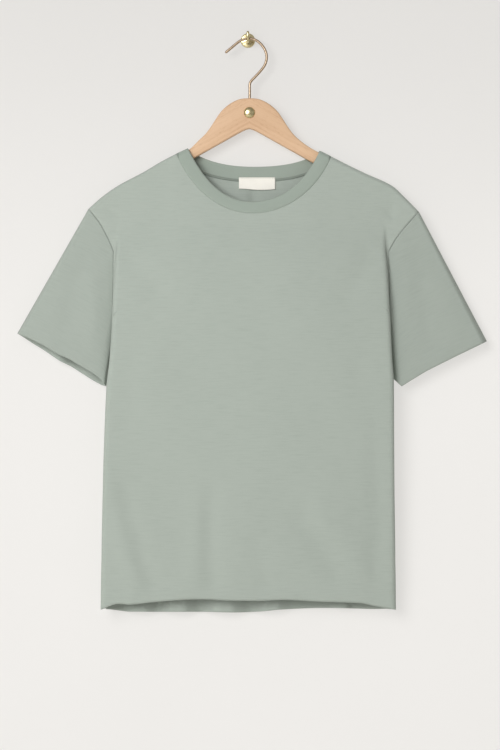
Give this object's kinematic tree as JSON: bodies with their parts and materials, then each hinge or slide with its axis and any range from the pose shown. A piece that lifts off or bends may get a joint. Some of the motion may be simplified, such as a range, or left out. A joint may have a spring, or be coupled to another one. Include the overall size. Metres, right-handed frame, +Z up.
{
  "type": "t-shirt on hanger",
  "caption": "Short-sleeved crew-neck jersey t-shirt hung flat on a flat wooden hanger with a wire hook, resting on a small wall hook.",
  "frame": {"origin": "centre of the wall hook's back face, on the wall", "axes": "+Z up, +Y into the wall, the shirt's front faces -Y, +X to the viewer's right"},
  "size_m": [0.6684, 0.0507, 0.8277],
  "materials": {
    "jersey": "matte fine slub jersey",
    "rib": "matte fine rib",
    "label": "woven ribbon",
    "wood": "satin beech",
    "brass": "polished"
  },
  "bodies": {
    "root": {"front": "jersey", "back": "jersey", "sleeve_left": "jersey", "sleeve_right": "jersey", "neck_rib": "rib", "neck_label": "label", "hanger_wood": "wood", "hanger_hook": "brass", "hanger_stud": "brass", "wall_rosette": "brass", "wall_peg": "brass"}
  },
  "joints": []
}
